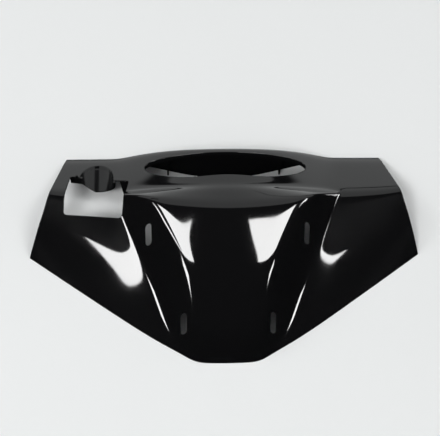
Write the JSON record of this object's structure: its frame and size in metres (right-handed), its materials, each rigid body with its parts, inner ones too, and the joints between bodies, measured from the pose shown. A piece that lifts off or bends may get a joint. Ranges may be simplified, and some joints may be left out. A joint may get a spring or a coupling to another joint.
{
  "type": "scooter handlebar cover",
  "caption": "Winged shell that covers a scooter's handlebar: raised nose, wide instrument opening in the hood, reservoir window in one wing, clip slots.",
  "frame": {"origin": "middle of the bounding box, on the plane of the open back", "axes": "+X across the cover towards the wing without the window, +Y up the scooter towards the instrument opening, +Z out of the open back towards the nose"},
  "size_m": [0.4564, 0.2472, 0.1211],
  "materials": {
    "shell": "high gloss black, smooth"
  },
  "bodies": {
    "root": {"handlebar_cover": "shell"}
  },
  "joints": []
}
